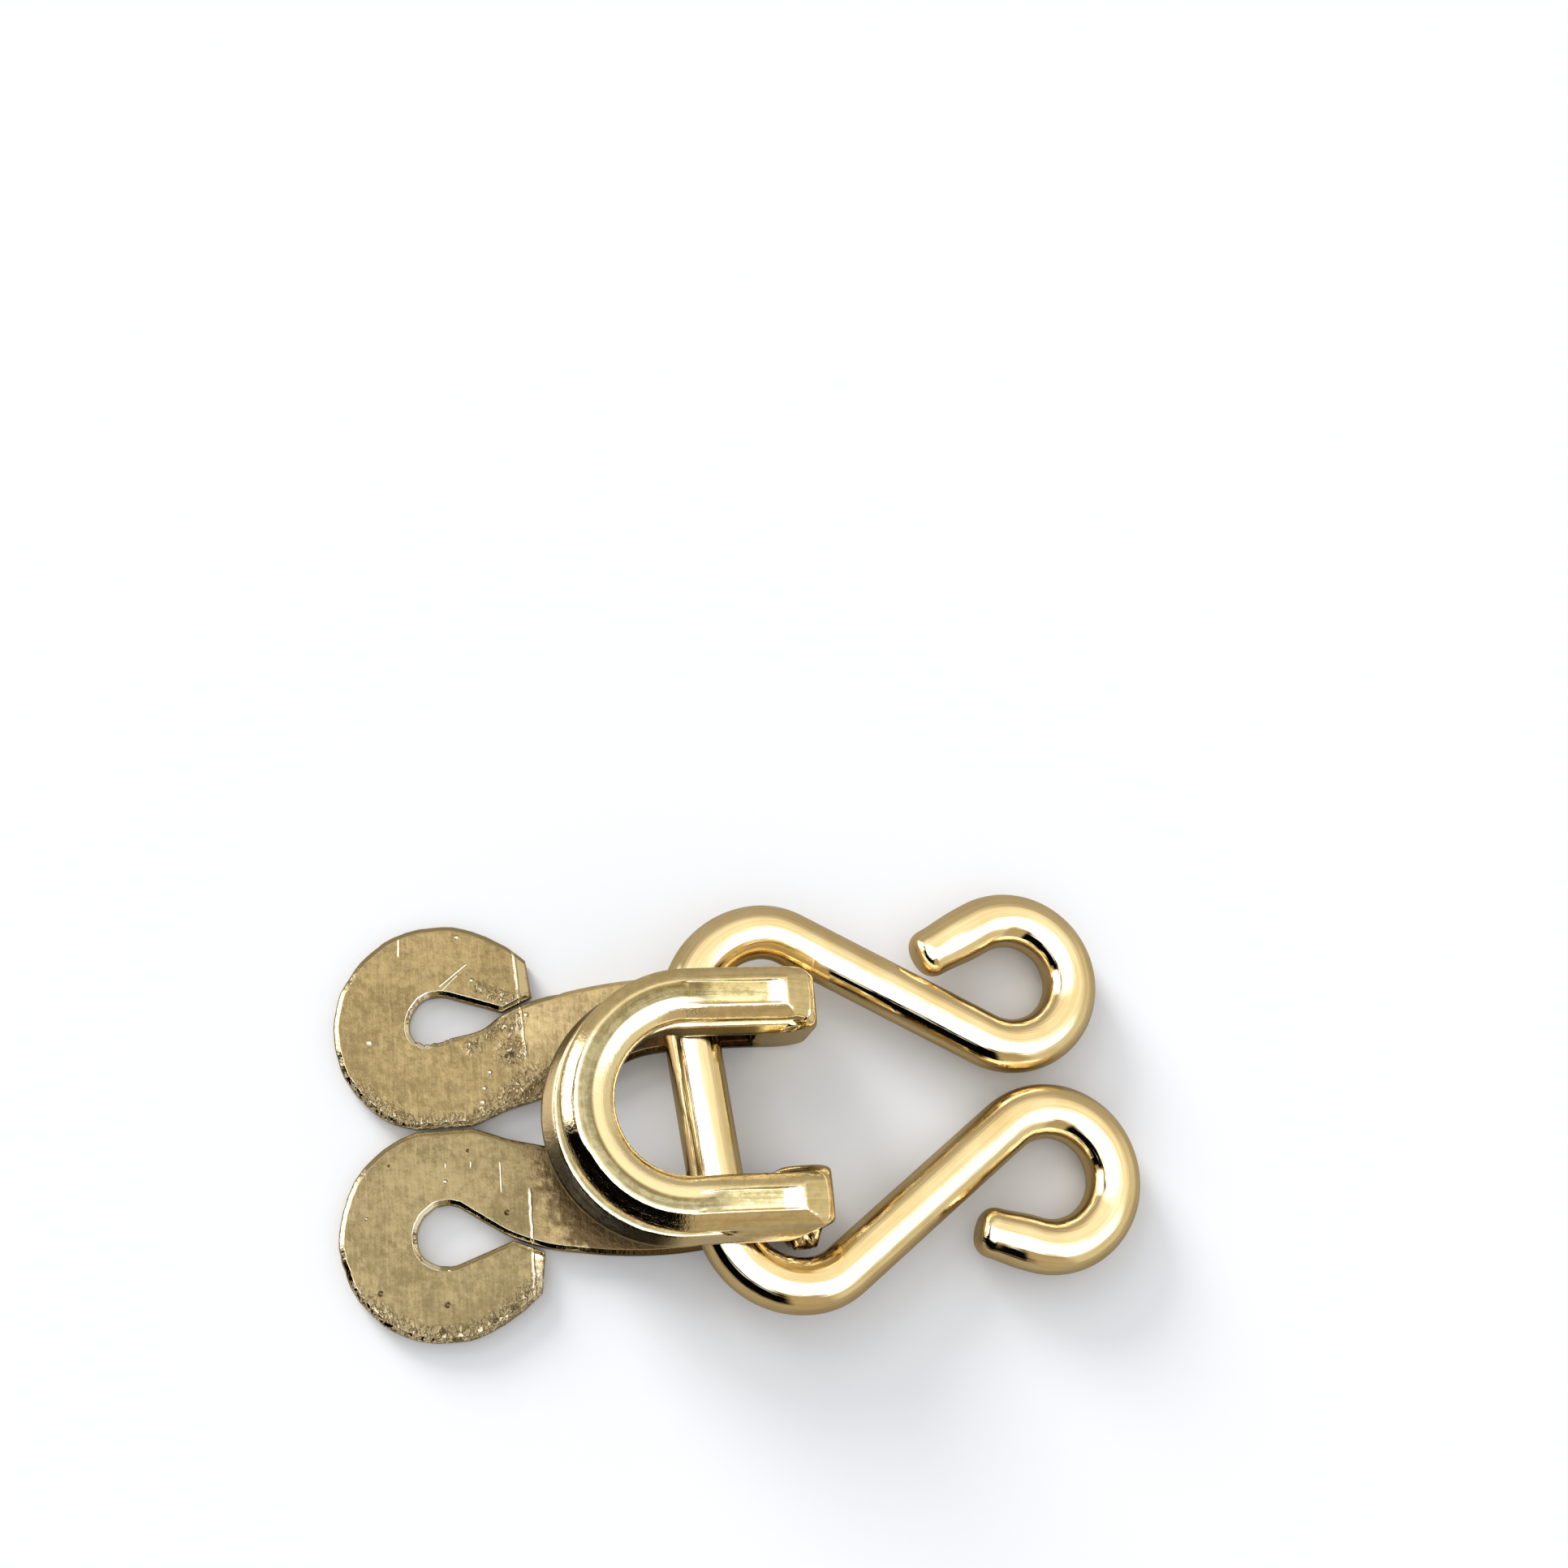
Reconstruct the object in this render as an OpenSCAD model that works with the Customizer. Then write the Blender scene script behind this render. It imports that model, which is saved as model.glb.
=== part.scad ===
// Sew-on hook and eye for a fur or coat, bent and pressed from round wire, shown fastened.
// The hook lies flat on its tabs and strips, and the eye's bar lies in the slot under the hook's bill.
// X runs from the hook's tabs to the eye's curls, Y across, Z up from the surface both rest on.
// Coordinates below are measured from the point under the centre of the bill's round nose, and the
// finished pieces are moved so that the origin is in the middle of the outline, on the surface.

/* [Wire and stock] */
// Diameter of the eye's round wire
wire_d = 2.0; // [1.8:0.05:2.05]
// Thickness of the wire where it is pressed flat, in the tabs and strips
strip_t = 0.7; // [0.5:0.05:0.75]

/* [Hook] */
// Outer radius of a sewing tab
tab_r = 3.75; // [3.65:0.05:3.85]
// Distance from a tab's centre to the hook's centre line
tab_y = 3.62; // [3.6:0.02:3.8]
// Distance from the tabs' centres back to the nose's centre
tab_x = 8.5; // [8.3:0.05:8.8]
// Radius of the round end of a tab's hole
hole_r = 1.05; // [0.9:0.05:1.2]
// Radius of the bill's U, at the middle of its width
bill_r = 3.6; // [3.55:0.01:3.65]
// Width of the bill above its ledge
bill_w = 1.9; // [1.8:0.05:2.0]
// Height of the bill's underside above the surface
bill_z = 2.95; // [2.95:0.05:3.2]
// Thickness of the bill
bill_t = 1.6; // [1.5:0.05:1.8]
// Distance from the nose's centre to the front of the folds
fold_x = 4.7; // [4.65:0.05:4.85]
// Length of a fold, from the end of the slot to the front
fold_l = 1.95; // [1.8:0.05:2.1]
// How far the ledge along the bill's foot stands out towards the tabs
ledge_back = 0.6; // [0.3:0.05:0.65]
// How far that ledge stands out sideways, towards the near side
ledge_side = 0.35; // [0.2:0.05:0.4]
// Angle by which the two arms and folds lean to the near side
arm_lean = 2.2; // [1.8:0.1:2.5]

/* [Eye] */
// Distance from the bar's middle to a curl's centre
curl_x = 12.17; // [12.0:0.05:12.5]
// Distance from a curl's centre to the eye's centre line
curl_y = 3.65; // [3.6:0.02:3.8]
// Radius of the far curl at the middle of the wire
far_curl_r = 2.38; // [2.3:0.01:2.4]
// Radius of the near curl at the middle of the wire
near_curl_r = 2.44; // [2.35:0.01:2.46]
// Half the length of the bar's straight part
bar_half = 3.46; // [3.4:0.02:3.52]
// Radius of the bend from the bar to a corner's outermost point, at the middle of the wire
bend_r = 2.91; // [2.85:0.02:2.95]
// Radius of a corner from there to the shank
corner_r = 2.23; // [2.15:0.02:2.3]
// Angle at which a curl's arc ends and its short straight tip begins
curl_end = 112; // [105:1:118]
// Length of the straight tip of the far curl
far_tip = 2.7; // [2.0:0.1:2.9]
// Length of the straight tip of the near curl
near_tip = 2.25; // [1.6:0.05:2.4]
// How far the far curl sits back, and the near curl forward
stagger = 0.13; // [0:0.01:0.2]

/* [How the eye lies in the hook] */
// Place of the bar's middle along the slot
eye_x = 0.66; // [0.6:0.02:0.8]
// Place of the bar's middle across the hook
eye_y = -0.41; // [-0.44:0.01:-0.38]
// Turn of the eye seen from above
eye_turn = 2.96; // [2.5:0.1:3.2]
// Extra lean of the bar and corners against the curls
bar_lean = 2.24; // [1.8:0.1:2.8]
// Height of the bar above the strips
bar_lift = 0.14; // [0.1:0.02:0.16]

/* [Hidden] */

wire_r = wire_d / 2;
bill_in = bill_r - bill_w / 2;
bill_out = bill_r + bill_w / 2;
bill_top = bill_z + bill_t;
slot_x = fold_x - fold_l;

function lerp(a, b, t) = a + (b - a) * t;
function polar(c, r, a) = [c[0] + r * cos(a), c[1] + r * sin(a)];
function arc(c, r, a0, a1, n) = [for (i = [0:n]) polar(c, r, lerp(a0, a1, i / n))];
function turned(p, a) = [p[0] * cos(a) - p[1] * sin(a), p[0] * sin(a) + p[1] * cos(a)];
function at(p, z) = [p[0], p[1], z];

// The hook's cross-section has 12 points. Each is on the inner edge (0) or the outer edge (1) of the
// width, a distance in from that edge, and a share of the thickness up from the slot's side.
edge_of = [0, 1, 1, 1, 1, 1, 1, 0, 0, 0, 0, 0];
strip_in = [0.14, 0.14, 0.03, 0.01, 0, 0.03, 0.14, 0.14, 0.03, 0, 0.01, 0.03];
strip_up = [0, 0, 0.17, 0.35, 0.6, 0.83, 1, 1, 0.83, 0.6, 0.35, 0.17];
bill_ins = [0.1, 0.1, 0.01, 0, 0, 0.03, 0.5, 0.5, 0.03, 0, 0, 0.01];
bill_up = [0, 0, 0.07, 0.3, 0.46, 0.71, 1, 1, 0.71, 0.46, 0.3, 0.07];
foot_of = [1, 1, 1, 0.85, 0, 0, 0, 0, 0, 0, 0.85, 1];

// A ring of the hook. a and b are the two edges of the face on the slot's side, up is the thickness
// as a vector, ins and ups shape the section, and foot pushes the two lower edges out.
function ring(a, b, up, ins, ups, foot = [0, 0]) =
    let (w = b - a, wn = w / norm(w))
    [for (i = [0:len(edge_of) - 1])
        (edge_of[i] == 1 ? b - wn * (ins[i] - foot_of[i] * foot[1]) : a + wn * (ins[i] - foot_of[i] * foot[0]))
        + up * ups[i]];

// A flat ring of a tab or strip, from its two edges seen from above.
function flat_ring(a, b) = ring(at(a, strip_t), at(b, strip_t), [0, 0, -strip_t], strip_in, strip_up);

// The tab: its cut end, its round, and the stem that leaves it for the strip. Each place has an outer
// and an inner edge. The two tabs press flat against each other where they meet.
tab_c = [-tab_x, tab_y];
tab_gap = 0.05;
function kept_apart(p) = [p[0], max(p[1], tab_gap)];
hole_c = [-tab_x, tab_y + 0.1];
hole_tip = [-6.25, 4.0];
slit = 0.1;
cut_end = [[[-5.33, 5.92], [-5.16, 4.53]],
           [[-5.98, 6.46], hole_tip + [0, slit / 2]],
           [polar(tab_c, tab_r, 63), polar(hole_c, hole_r, 74)]];
round_steps = 22;
tab_round = [for (i = [1:round_steps]) let (s = i / round_steps)
    [kept_apart(polar(tab_c, tab_r, lerp(63, 290, s))), polar(hole_c, hole_r, lerp(74, 294, s))]];
stem = [[[-6.2, 0.52], hole_tip - [0, slit / 2]],
        [[-4.9, 0.86], [-5.1, 4.41]],
        [[-3.9, 1.15], [-4.0, 4.64]],
        [[-2.8, 1.56], [-2.8, 4.83]],
        [[-1.5, 2.1], [-1.5, 4.94]],
        [[-0.2, 2.27], [-0.2, 4.93]],
        [[1.2, 2.31], [1.2, 4.75]],
        [[2.1, 2.33], [2.1, 4.5]]];
tab_rings = [for (p = concat(cut_end, tab_round, stem)) flat_ring(p[0], p[1])];

// The fold, seen from the side: the slot's end inside, the front outside, ring by ring.
fold_steps = 5;
slot_round = 0.3;
foot_round = 0.95;
brow_round = 0.85;
fold_inside = concat(arc([slot_x - slot_round, strip_t + slot_round], slot_round, -90, 0, fold_steps),
                     arc([slot_x - slot_round, bill_z - slot_round], slot_round, 0, 90, fold_steps));
fold_outside = concat(arc([fold_x - foot_round, foot_round], foot_round, -90, 0, fold_steps),
                      arc([fold_x - brow_round, bill_top - brow_round], brow_round, 0, 90, fold_steps));
fold_top = concat([for (i = [0:fold_steps]) 0], [for (i = [0:fold_steps]) i / fold_steps]);

// The foot's ledge at a place of the bill that faces dir, on the inner and the outer edge. side is 1 on
// the far half of the hook and -1 on the near half, which is drawn here mirrored.
function ledge(dir, side) =
    let (out = -(dir[0] * ledge_back + side * dir[1] * ledge_side))
    [max(0, -out), max(0, out)];
function fold_rings(side) = [for (i = [0:len(fold_inside) - 1])
    let (p = fold_inside[i], q = fold_outside[i], s = fold_top[i])
    ring([p[0], lerp(2.33, bill_in, s), p[1]], [p[0], lerp(4.45, bill_out, s), p[1]],
         [q[0] - p[0], 0, q[1] - p[1]], lerp(strip_in * 2, bill_ins, s), lerp(strip_up, bill_up, s),
         ledge([0, 1], side) * s)];

// The bill: its straight arm, then half of its U.
function bill_ring(c, dir, side) =
    ring(at(c + dir * bill_in, bill_z), at(c + dir * bill_out, bill_z), [0, 0, bill_t], bill_ins, bill_up,
         ledge(dir, side));
nose_steps = 14;
function bill_rings(side) = concat(
    [for (x = [2.3, 1.1]) bill_ring([x, 0], [0, 1], side)],
    [for (i = [0:nose_steps]) let (a = lerp(90, 180, i / nose_steps)) bill_ring([0, 0], [cos(a), sin(a)], side)]);

// Both arms lean to the near side, starting gently at the nose's centre.
function reach(x) = x < -1 ? 0 : x < 1 ? (x + 1) * (x + 1) / 4 : x;
function leaned(p) = [p[0], p[1] - tan(arm_lean) * reach(p[0]), p[2]];

// The near half is mirrored and put behind the far half, which keeps the nose's ring.
function half_hook(side) = concat(tab_rings, fold_rings(side), bill_rings(side));
near_half = half_hook(-1);
last = len(near_half) - 1;
even_hook = concat(half_hook(1), [for (i = [1:last]) [for (p = near_half[last - i]) [p[0], -p[1], p[2]]]]);
whole_hook = [for (r = even_hook) [for (p = r) leaned(p)]];

// Joins rings of equal length into one closed solid.
module swept(rings) {
    n = len(rings[0]);
    m = len(rings);
    polyhedron(
        points = [for (r = rings) for (p = r) p],
        faces = concat(
            [[for (j = [0:n - 1]) n - 1 - j]],
            [[for (j = [0:n - 1]) (m - 1) * n + j]],
            [for (i = [0:m - 2]) for (j = [0:n - 1]) [i * n + j, (i + 1) * n + (j + 1) % n, (i + 1) * n + j]],
            [for (i = [0:m - 2]) for (j = [0:n - 1]) [i * n + j, i * n + (j + 1) % n, (i + 1) * n + (j + 1) % n]]));
}

// The eye, laid out flat in its own plane with the bar's middle at the origin.
// The rounded end of a tip: distance from the end, and how much thinner the wire is there.
tip_shape = [[0.55, 0], [0.28, 0.08], [0.09, 0.25], [0, 0.5]];

// Stations of the wire along an arc: its middle and the direction to its left, going clockwise or back.
function clockwise(c, r, a0, a1, n) = [for (i = [0:n]) let (a = lerp(a0, a1, i / n)) [polar(c, r, a), [cos(a), sin(a)]]];
function counter(c, r, a0, a1, n) = [for (i = [0:n]) let (a = lerp(a0, a1, i / n)) [polar(c, r, a), [-cos(a), -sin(a)]]];
function round_ring(s, r) = [for (k = [0:23]) at(s[0] + s[1] * r * cos(k * 15), -r * sin(k * 15))];

// The wire from the bar's middle round a corner and along a shank to the tip of its curl. lean turns
// the corner about the bar's middle, back moves the curl, r is its radius, tip its straight end's length.
function half_eye(lean, back, r, tip) =
    let (bc = turned([bend_r, bar_half], lean),
         cc = turned([bend_r, bar_half + bend_r - corner_r], lean),
         kc = [curl_x - back, curl_y],
         d = kc - cc,
         slope = asin((corner_r + r) / norm(d)) - atan2(d[1], d[0]),
         dir = [cos(curl_end + 90), sin(curl_end + 90)],
         left = [-cos(curl_end), -sin(curl_end)],
         end = polar(kc, r, curl_end) + dir * tip,
         bar = [for (i = [0:2]) [turned([0, bar_half * i / 3], lean), turned([-1, 0], lean)]],
         bend = clockwise(bc, bend_r, 180 + lean, 90 + lean, 9),
         corner = clockwise(cc, corner_r, 90 + lean, 90 - slope, 5),
         curl = counter(kc, r, -90 - slope, curl_end, 24))
    concat([for (s = concat(bar, bend)) round_ring(s, wire_r)],
           [for (i = [1:len(corner) - 1]) round_ring(corner[i], wire_r)],
           [for (s = curl) round_ring(s, wire_r)],
           [for (e = tip_shape) round_ring([end - dir * e[0], left], wire_r - e[1])]);

upper_eye = half_eye(bar_lean, stagger, far_curl_r, far_tip);
lower_eye = half_eye(-bar_lean, -stagger, near_curl_r, near_tip);
whole_eye = concat([for (i = [len(lower_eye) - 1:-1:1]) [for (p = lower_eye[i]) [p[0], -p[1], p[2]]]], upper_eye);

bar_z = strip_t + bar_lift + wire_r;
pitch = asin((bar_z - wire_r - 0.01) / (curl_x + near_curl_r + stagger));

// A point of the eye, tipped down to the curls, turned, and laid in the slot.
function laid(p) =
    let (q = turned([p[0] * cos(pitch) + p[2] * sin(pitch), p[1]], eye_turn))
    [eye_x + q[0], eye_y + q[1], bar_z + p[2] * cos(pitch) - p[0] * sin(pitch)];
laid_eye = [for (r = whole_eye) [for (p = r) laid(p)]];

all_points = [for (r = concat(whole_hook, laid_eye)) for (p = r) p];
all_x = [for (p = all_points) p[0]];
all_y = [for (p = all_points) p[1]];
middle = [(min(all_x) + max(all_x)) / 2, (min(all_y) + max(all_y)) / 2, 0];
function centred(rings) = [for (r = rings) [for (p = r) p - middle]];

module hook() {
    color([0.72, 0.62, 0.42]) swept(centred(whole_hook));
}

module eye() {
    color([0.9, 0.76, 0.46]) swept(centred(laid_eye));
}

hook();
eye();
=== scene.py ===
import math

import bpy
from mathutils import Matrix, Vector, noise


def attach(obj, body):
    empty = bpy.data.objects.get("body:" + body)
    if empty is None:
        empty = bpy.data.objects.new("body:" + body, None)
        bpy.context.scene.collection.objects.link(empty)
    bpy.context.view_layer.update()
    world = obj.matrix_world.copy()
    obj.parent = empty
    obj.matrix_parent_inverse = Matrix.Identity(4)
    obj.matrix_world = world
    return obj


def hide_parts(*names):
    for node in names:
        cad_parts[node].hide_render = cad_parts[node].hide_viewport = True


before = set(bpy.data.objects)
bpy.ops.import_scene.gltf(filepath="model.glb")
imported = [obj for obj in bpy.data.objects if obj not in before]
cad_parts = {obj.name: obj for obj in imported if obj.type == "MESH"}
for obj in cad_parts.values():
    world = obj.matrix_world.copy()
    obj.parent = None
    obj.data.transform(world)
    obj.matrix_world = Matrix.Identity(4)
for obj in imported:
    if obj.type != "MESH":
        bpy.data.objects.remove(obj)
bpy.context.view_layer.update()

# Shapes are written in millimetres from the point under the centre of the bill's round nose.
MIDDLE = Vector((2.151, -0.064, 0.0))
MM = 0.001
ORIGIN = (0, 0)
UP = Vector((0, 0, 1))


def lerp(a, b, t):
    return a + (b - a) * t


def smooth(a, b, x):
    """Runs smoothly from 0 to 1 while x goes from a to b."""
    t = min(max((x - a) / (b - a), 0.0), 1.0)
    return t * t * (3 - 2 * t)


def polar(c, r, degrees):
    a = math.radians(degrees)
    return Vector((c[0] + r * math.cos(a), c[1] + r * math.sin(a)))


def turned(p, degrees):
    a = math.radians(degrees)
    return Vector((p[0] * math.cos(a) - p[1] * math.sin(a), p[0] * math.sin(a) + p[1] * math.cos(a)))


def arc_points(c, r, a0, a1, n):
    return [polar(c, r, lerp(a0, a1, i / n)) for i in range(n + 1)]


def along(points, t):
    """Place at share t of a row of points."""
    f = t * (len(points) - 1)
    i = min(int(f), len(points) - 2)
    return points[i].lerp(points[i + 1], f - i)


def spline(points, steps):
    """Points of a smooth curve through the given ones."""
    ends = [points[0] * 2 - points[1]] + list(points) + [points[-1] * 2 - points[-2]]
    out = []
    for i in range(1, len(ends) - 2):
        p0, p1, p2, p3 = ends[i - 1:i + 3]
        for k in range(steps):
            t = k / steps
            out.append(0.5 * ((2 * p1) + (p2 - p0) * t + (2 * p0 - 5 * p1 + 4 * p2 - p3) * t * t
                              + (3 * p1 - p0 - 3 * p2 + p3) * t ** 3))
    out.append(points[-1].copy())
    return out


# Camera: straight down on the fastened pair, leaning a little from the tabs' near side.
camera_data = bpy.data.cameras.new("camera")
camera_data.sensor_width = 36.0
camera_data.lens = 46.285
camera_data.clip_start = 0.005
camera = bpy.data.objects.new("camera", camera_data)
camera.location = ((-7.753 - MIDDLE.x) * MM, (-9.699 - MIDDLE.y) * MM, 73.275 * MM)
camera.rotation_euler = (math.radians(17.328), math.radians(-8.253), math.radians(-5.206))
bpy.context.scene.collection.objects.link(camera)
bpy.context.scene.camera = camera


# Hook: the same wire as in the solid, with rounded edges, a creased ledge and a pressed top.
# The far half is written with y above 0. The near half has side -1 and is mirrored at the end.
STRIP_T = 0.7
TAB_R, TAB_X, TAB_Y = 3.735, 8.5, 3.62
TAB_C = Vector((-TAB_X, TAB_Y))
TAB_GAP = 0.05
HOLE_R, HOLE_Y = 1.05, TAB_Y + 0.1
HOLE_C = Vector((-TAB_X, HOLE_Y))
HOLE_TIP = Vector((-6.25, 4.0))
SLIT = 0.1
PRESS_X = -5.62
BILL_R, BILL_W, BILL_Z, BILL_T = 3.6, 1.9, 2.95, 1.6
BILL_IN, BILL_OUT, BILL_TOP = BILL_R - BILL_W / 2, BILL_R + BILL_W / 2, BILL_Z + BILL_T
LEDGE_BACK, LEDGE_SIDE = 0.6, 0.35
FOLD_X, FOLD_R = 4.7, 0.95
SLOT_X, SLOT_R = 2.75, 0.3
FOLD_IN, FOLD_OUT = 2.33, 4.45
ARM_X, ARM_LEAN = 2.1, 2.2

# Angles at which the tab's round outer edge and its hole start and end.
OUTER_START, OUTER_END = 63, 290
INNER_START, INNER_END = 74, 294
# Rings along each part of the hook.
CUT_STEPS, TAB_STEPS, STEM_STEPS = 9, 104, 8
FOLD_STEPS, TORN_STEPS, BROW_STEPS, BROW_END_STEPS = 14, 16, 34, 25
ARM_STEPS, NOSE_STEPS = 20, 40

# Edges of the cut end, as far as the round part, and of the stem, from the hole's tip to the fold.
CUT_OUTER = [Vector((-5.33, 5.92)), Vector((-5.98, 6.46)), polar(TAB_C, TAB_R, OUTER_START)]
CUT_INNER = [Vector((-5.16, 4.53)), HOLE_TIP + Vector((0, SLIT / 2)), polar(HOLE_C, HOLE_R, INNER_START)]
STEM_OUTER = [Vector(p) for p in ((-6.2, 0.52), (-4.9, 0.86), (-3.9, 1.15), (-2.8, 1.56), (-1.5, 2.1),
                                  (-0.2, 2.27), (1.2, 2.31), (ARM_X, 2.33))]
STEM_INNER = [HOLE_TIP - Vector((0, SLIT / 2))]
STEM_INNER += [Vector(p) for p in ((-5.1, 4.41), (-4.0, 4.64), (-2.8, 4.83), (-1.5, 4.94), (-0.2, 4.93),
                                   (1.2, 4.75), (ARM_X, 4.5))]

# Outside of the fold and brow seen from the side, from the top of the round fold to the bill's top.
BROW = spline([Vector(p) for p in ((4.7, 3.2), (4.7, 3.5), (4.665, 3.75), (4.58, 3.94), (4.47, 4.08),
                                   (4.415, 4.105), (4.3, 4.16), (4.1, 4.27), (3.9, 4.38), (3.7, 4.48),
                                   (3.6, 4.525), (3.5, 4.55))], 6)

# Half a section of the bill, from its underside up to its top: distance in from the edge, height
# above the underside, share of the ledge that it stands out, and depth of the crease.
BILL_FOOT = [(0.6, 0.0, 1, 0), (0.3, 0.0, 1, 0), (0.1, 0.0, 1, 0), (0.02, 0.03, 1, 0), (0.0, 0.1, 1, 0),
             (0.0, 0.18, 1, 0), (0.0, 0.25, 1, 0), (0.0, 0.3, 0.985, 0), (0.0, 0.335, 0.945, 0),
             (0.0, 0.46, 0.66, 0), (0.0, 0.59, 0.37, 0), (0.0, 0.625, 0.29, 0), (0.0, 0.645, 0.21, 0),
             (0.0, 0.66, 0.08, 0), (0.0, 0.67, 0.0, 0.8), (0.0, 0.69, 0, 1), (0.0, 0.72, 0, 0.5),
             (0.0, 0.78, 0, 0), (0.0, 0.92, 0, 0), (0.0, 1.05, 0, 0)]
# The same from the wall's top: distance in, and depth below the top.
OUTER_TOP = [(0.0, 0.48), (0.02, 0.43), (0.07, 0.376), (0.12, 0.325), (0.22, 0.235), (0.32, 0.158),
             (0.4, 0.106), (0.47, 0.07), (0.515, 0.052), (0.545, 0.045), (0.575, 0.037), (0.63, 0.027),
             (0.72, 0.013), (0.83, 0.004), (0.94, 0.0)]
OUTER_STRAIGHT = [(0.0, 0.63), (0.02, 0.58), (0.07, 0.528), (0.13, 0.466), (0.25, 0.348), (0.37, 0.232),
                  (0.48, 0.13), (0.555, 0.066), (0.595, 0.048), (0.63, 0.038), (0.665, 0.03), (0.71, 0.02),
                  (0.77, 0.01), (0.85, 0.004), (0.94, 0.0)]
NOSE_TOP = [(0.0, 0.56), (0.02, 0.5), (0.07, 0.41), (0.14, 0.325), (0.24, 0.235), (0.34, 0.168),
            (0.43, 0.12), (0.51, 0.088), (0.58, 0.066), (0.64, 0.05), (0.69, 0.037), (0.75, 0.022),
            (0.81, 0.01), (0.88, 0.002), (0.94, 0.0)]
ARM_TOP = [(0.0, 0.46), (0.02, 0.4), (0.07, 0.34), (0.13, 0.28), (0.22, 0.2), (0.32, 0.125),
           (0.4, 0.075), (0.46, 0.044), (0.5, 0.028), (0.525, 0.02), (0.56, 0.014), (0.63, 0.008),
           (0.72, 0.004), (0.83, 0.0), (0.94, 0.0)]
# Share of the stamped hollow's depth at each of these places, its depth, and where it and its ramp end.
STAMPED = [0, 0, 0, 0, 0, 0, 0, 0, 0, 0.1, 0.9, 1, 1, 1, 1]
HOLLOW, HOLLOW_END, RAMP_END = 0.14, 2.95, 3.53
# The rows between which the near arm's ledge is levelled out to one slope.
SLOPE_START, SLOPE_END = 6, len(BILL_FOOT) + 3
HALF = len(BILL_FOOT) + len(OUTER_TOP)

# Half a section of the flat strip: distance in from the edge, and share of its thickness.
STRIP_LINE = [(0.9, 0.0), (0.35, 0.0), (0.2, 0.0), (0.183, 0.006), (0.165, 0.024), (0.03, 0.175),
              (0.01, 0.23), (0.0, 0.3), (0.0, 0.45), (0.0, 0.65), (0.02, 0.83), (0.07, 0.95), (0.16, 1.0),
              (0.3, 1.0), (0.9, 1.0)]


def resampled(line, count):
    """The same line with a given number of places, which are closer on its short pieces."""
    run = [0.0]
    for p, q in zip(line, line[1:]):
        run.append(run[-1] + math.hypot(p[0] - q[0], (p[1] - q[1]) * STRIP_T) ** 0.5)
    out = []
    for i in range(count):
        want = run[-1] * i / (count - 1)
        k = max(j for j in range(len(run) - 1) if run[j] <= want + 1e-9)
        t = (want - run[k]) / (run[k + 1] - run[k])
        out.append((lerp(line[k][0], line[k + 1][0], t), lerp(line[k][1], line[k + 1][1], t)))
    return out


STRIP_SIDE = resampled(STRIP_LINE, HALF)


def softened(ring):
    """Cuts every corner of a ring once, so that it has twice the points."""
    out = []
    for p, q in zip(ring, ring[1:] + ring[:1]):
        out += [p.lerp(q, 0.25), p.lerp(q, 0.75)]
    return out


def flat_places(a, b, through):
    """Places of the strip's section from edge b round to edge a. through leads to its other face."""
    across = (b - a).normalized()
    half = (b - a).length / 2 - 0.001
    first = [b - across * min(inset, half) + through * share for inset, share in STRIP_SIDE]
    second = [a + across * min(inset, half) + through * share for inset, share in STRIP_SIDE]
    return first + second[::-1]


def flat_ring(a, b):
    """A ring of a tab or stem. To the right of the press line the tab's cut end is bent down a little."""
    places = []
    for p in flat_places(Vector((a[0], a[1], STRIP_T)), Vector((b[0], b[1], STRIP_T)), -STRIP_T * UP):
        past_line = p.x - PRESS_X + 0.05
        if p.y > 4.55 and past_line > 0 and p.x < -4.0:
            bend = 0.32 * past_line * smooth(4.5, 4.75, p.y)
            p = Vector((p.x, p.y, p.z - bend * p.z / STRIP_T))
        places.append(p)
    return softened(places)


def uneven(p, side, reach):
    """Moves a place of the outline by a hair, as on stamped metal."""
    coarse = noise.noise(Vector((p.x * 1.1, p.y * 1.1 * side, 7.0 + side)))
    fine = noise.noise(Vector((p.x * 4.0, p.y * 4.0 * side, 3.0)))
    return p + reach * (coarse * 0.05 + fine * 0.022)


def burr(angle):
    """How far crumpled metal stands into the far hole, near its lower right edge."""
    ragged = 1 + 0.35 * noise.noise(Vector((angle * 0.09, 4.0, 1.0)))
    return 0.44 * smooth(190, 280, angle) * ragged


def tab_edges(side):
    """Outer and inner edge of the tab and stem, seen from above, from the cut end to the fold."""
    edges = []
    for i in range(2):
        for k in range(CUT_STEPS):
            t = k / CUT_STEPS
            edges.append((CUT_OUTER[i].lerp(CUT_OUTER[i + 1], t), CUT_INNER[i].lerp(CUT_INNER[i + 1], t)))
    for i in range(TAB_STEPS + 1):
        s = i / TAB_STEPS
        a, b = lerp(OUTER_START, OUTER_END, s), lerp(INNER_START, INNER_END, s)
        fade = smooth(0, 0.03, s) * smooth(1, 0.97, s)
        outer = uneven(polar(TAB_C, TAB_R - 0.02, a), side, polar(ORIGIN, fade, a))
        outer.y = max(outer.y, TAB_GAP + 0.02 * noise.noise(Vector((outer.x * 3.0, side, 0.0))))
        inner = uneven(polar(HOLE_C, HOLE_R, b), side, polar(ORIGIN, fade, b))
        if side > 0:
            inner += burr(b) * Vector((-0.12, 1.0))
        edges.append((outer, inner))
    outer, inner = edges[-1]
    squeezed = Vector((0.05, -0.2)) if side > 0 else Vector((0, 0))
    stem_outer = [outer, outer.lerp(STEM_OUTER[0], 0.55)] + STEM_OUTER
    stem_inner = [inner, inner.lerp(HOLE_TIP, 0.55) + squeezed] + STEM_INNER
    return edges + list(zip(spline(stem_outer, STEM_STEPS), spline(stem_inner, STEM_STEPS)))[1:]


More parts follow.
